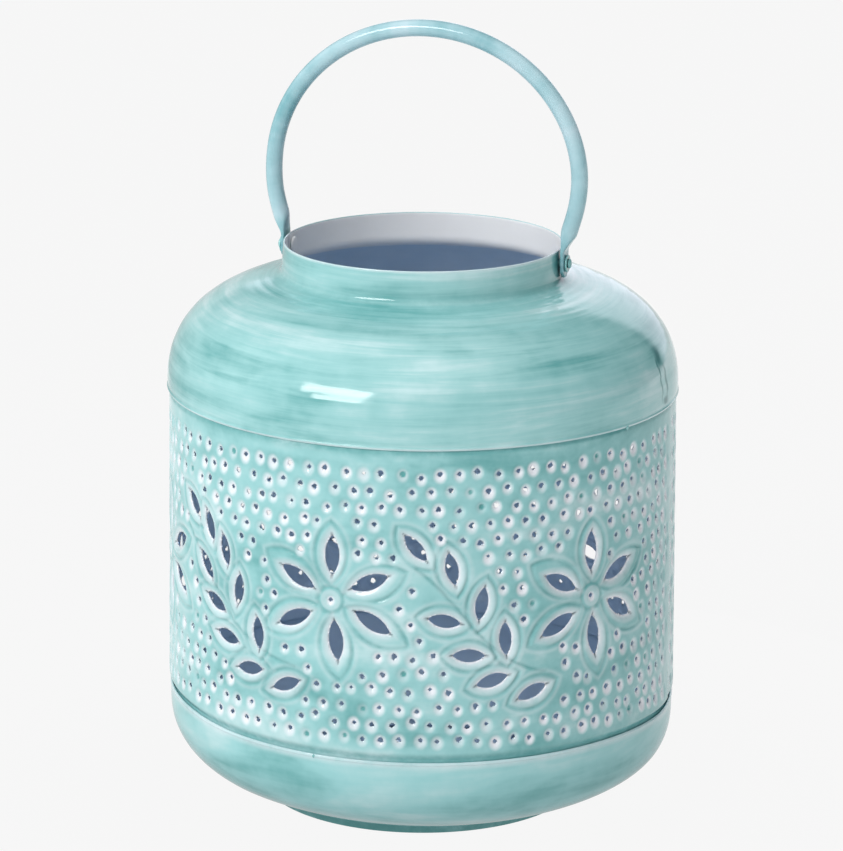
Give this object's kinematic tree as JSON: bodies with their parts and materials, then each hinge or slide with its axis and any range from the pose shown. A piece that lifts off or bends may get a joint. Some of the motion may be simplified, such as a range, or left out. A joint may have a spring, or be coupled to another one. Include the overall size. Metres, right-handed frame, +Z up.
{
  "type": "jar-shaped sheet-metal lantern with bail handle",
  "caption": "Enamelled sheet-metal lantern in the shape of a wide-necked jar, with pierced flowers and leaves round its wall and a swinging bail handle.",
  "frame": {"origin": "middle of the underside, on the surface the lantern stands on", "axes": "+Z up the lantern's axis, X along the handle's hinge line, the middle of one pierced flower close to -Y"},
  "size_m": [0.2024, 0.2024, 0.3098],
  "materials": {
    "shell_enamel": "glossy aqua enamel, mottled and streaked",
    "band_enamel": "glossy aqua enamel, pooled darker in the pressed grooves, whitish on the pressed edges",
    "handle_enamel": "glossy aqua enamel",
    "rivet_enamel": "glossy aqua enamel over steel"
  },
  "bodies": {
    "lantern": {"top_shell": "shell_enamel", "perforated_band": "band_enamel", "bottom_shell": "shell_enamel", "rivet_left": "rivet_enamel", "rivet_right": "rivet_enamel", "washer_left": "rivet_enamel", "washer_right": "rivet_enamel"},
    "handle": {"handle": "handle_enamel"}
  },
  "joints": [
    {"name": "handle_swing", "type": "hinge", "parent": "lantern", "child": "handle", "pos_m": [0, 0, 0.2176], "axis": [1, 0, 0], "range_deg": [-99, 99]}
  ]
}
